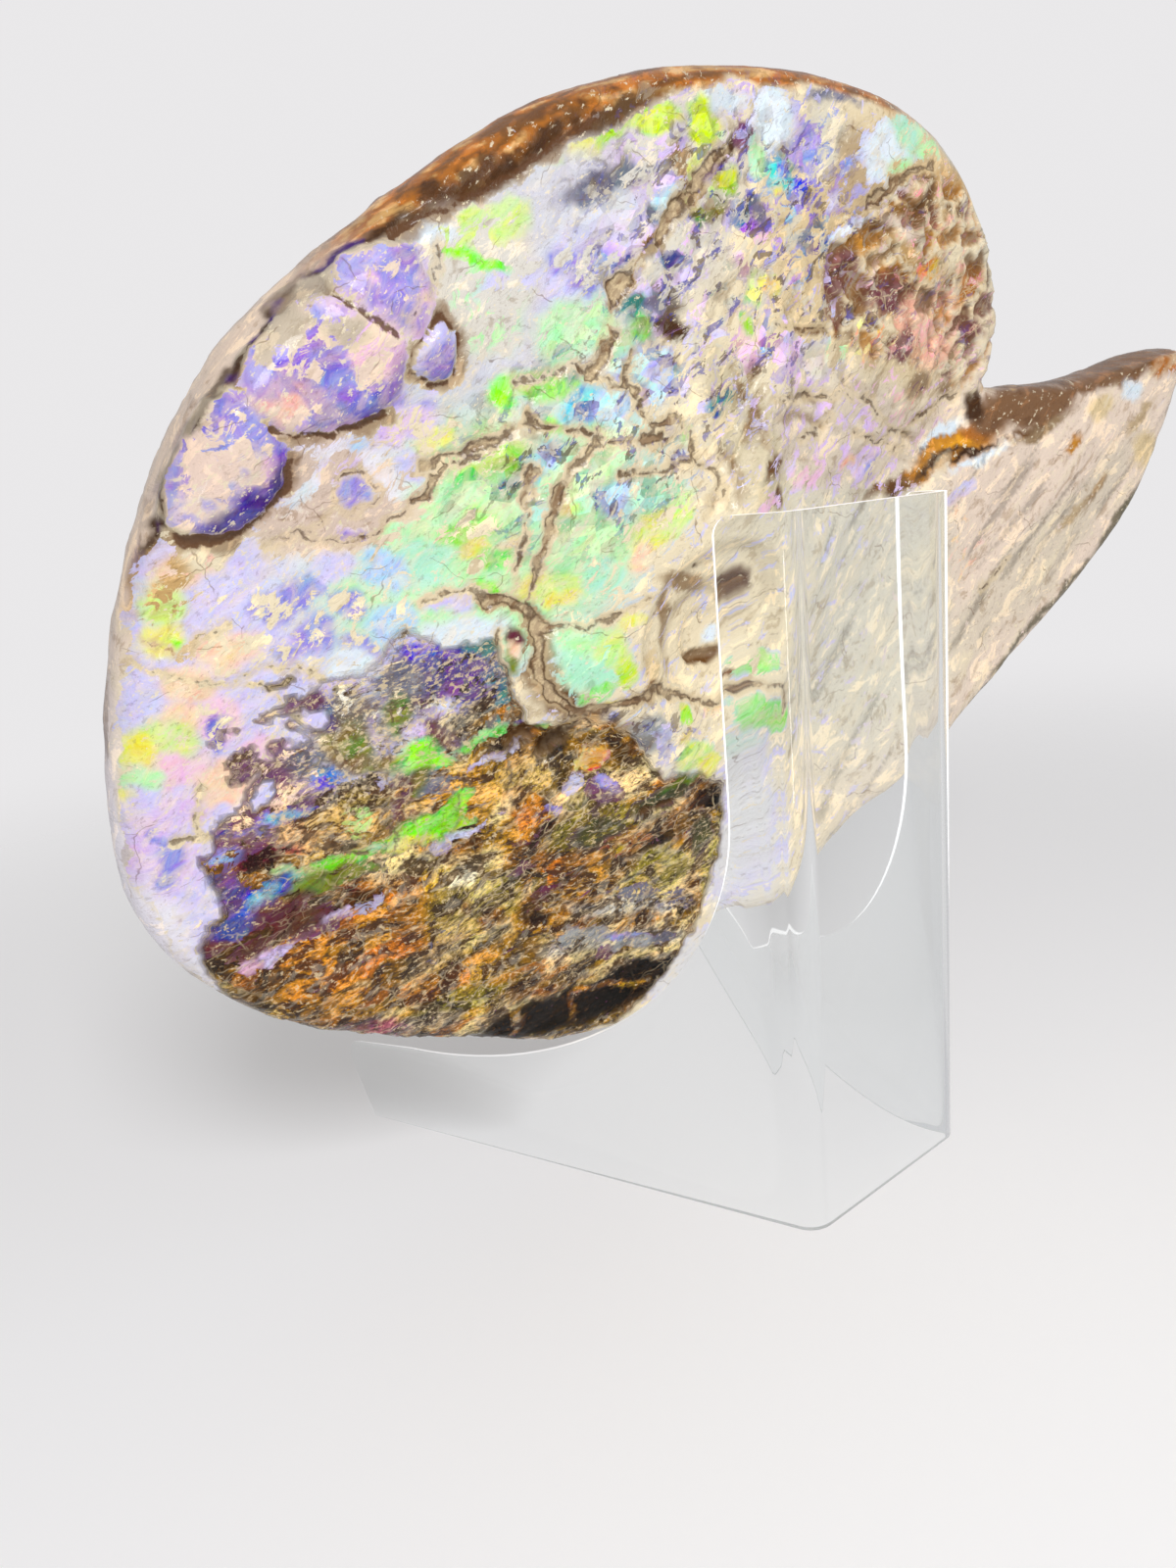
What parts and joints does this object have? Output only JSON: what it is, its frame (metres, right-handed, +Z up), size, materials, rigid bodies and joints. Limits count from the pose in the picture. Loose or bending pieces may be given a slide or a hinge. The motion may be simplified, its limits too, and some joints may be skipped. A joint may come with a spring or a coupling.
{
  "type": "ammolite specimen",
  "caption": "Large flattened ammonite with iridescent coloured shell, leaning in a display stand bent from one clear acrylic sheet.",
  "frame": {"origin": "under the middle of the stand's back panel, on the surface that the stand stands on", "axes": "+X along the back panel, +Y towards the stand's low lips, +Z up; the coloured flank faces -Y"},
  "size_m": [0.3454, 0.1627, 0.2988],
  "materials": {
    "fossil_shell": "polished iridescent shell over brown stone",
    "clear_acrylic": "clear, flame-polished edges"
  },
  "bodies": {
    "root": {"ammonite": "fossil_shell", "display_stand": "clear_acrylic"}
  },
  "joints": []
}
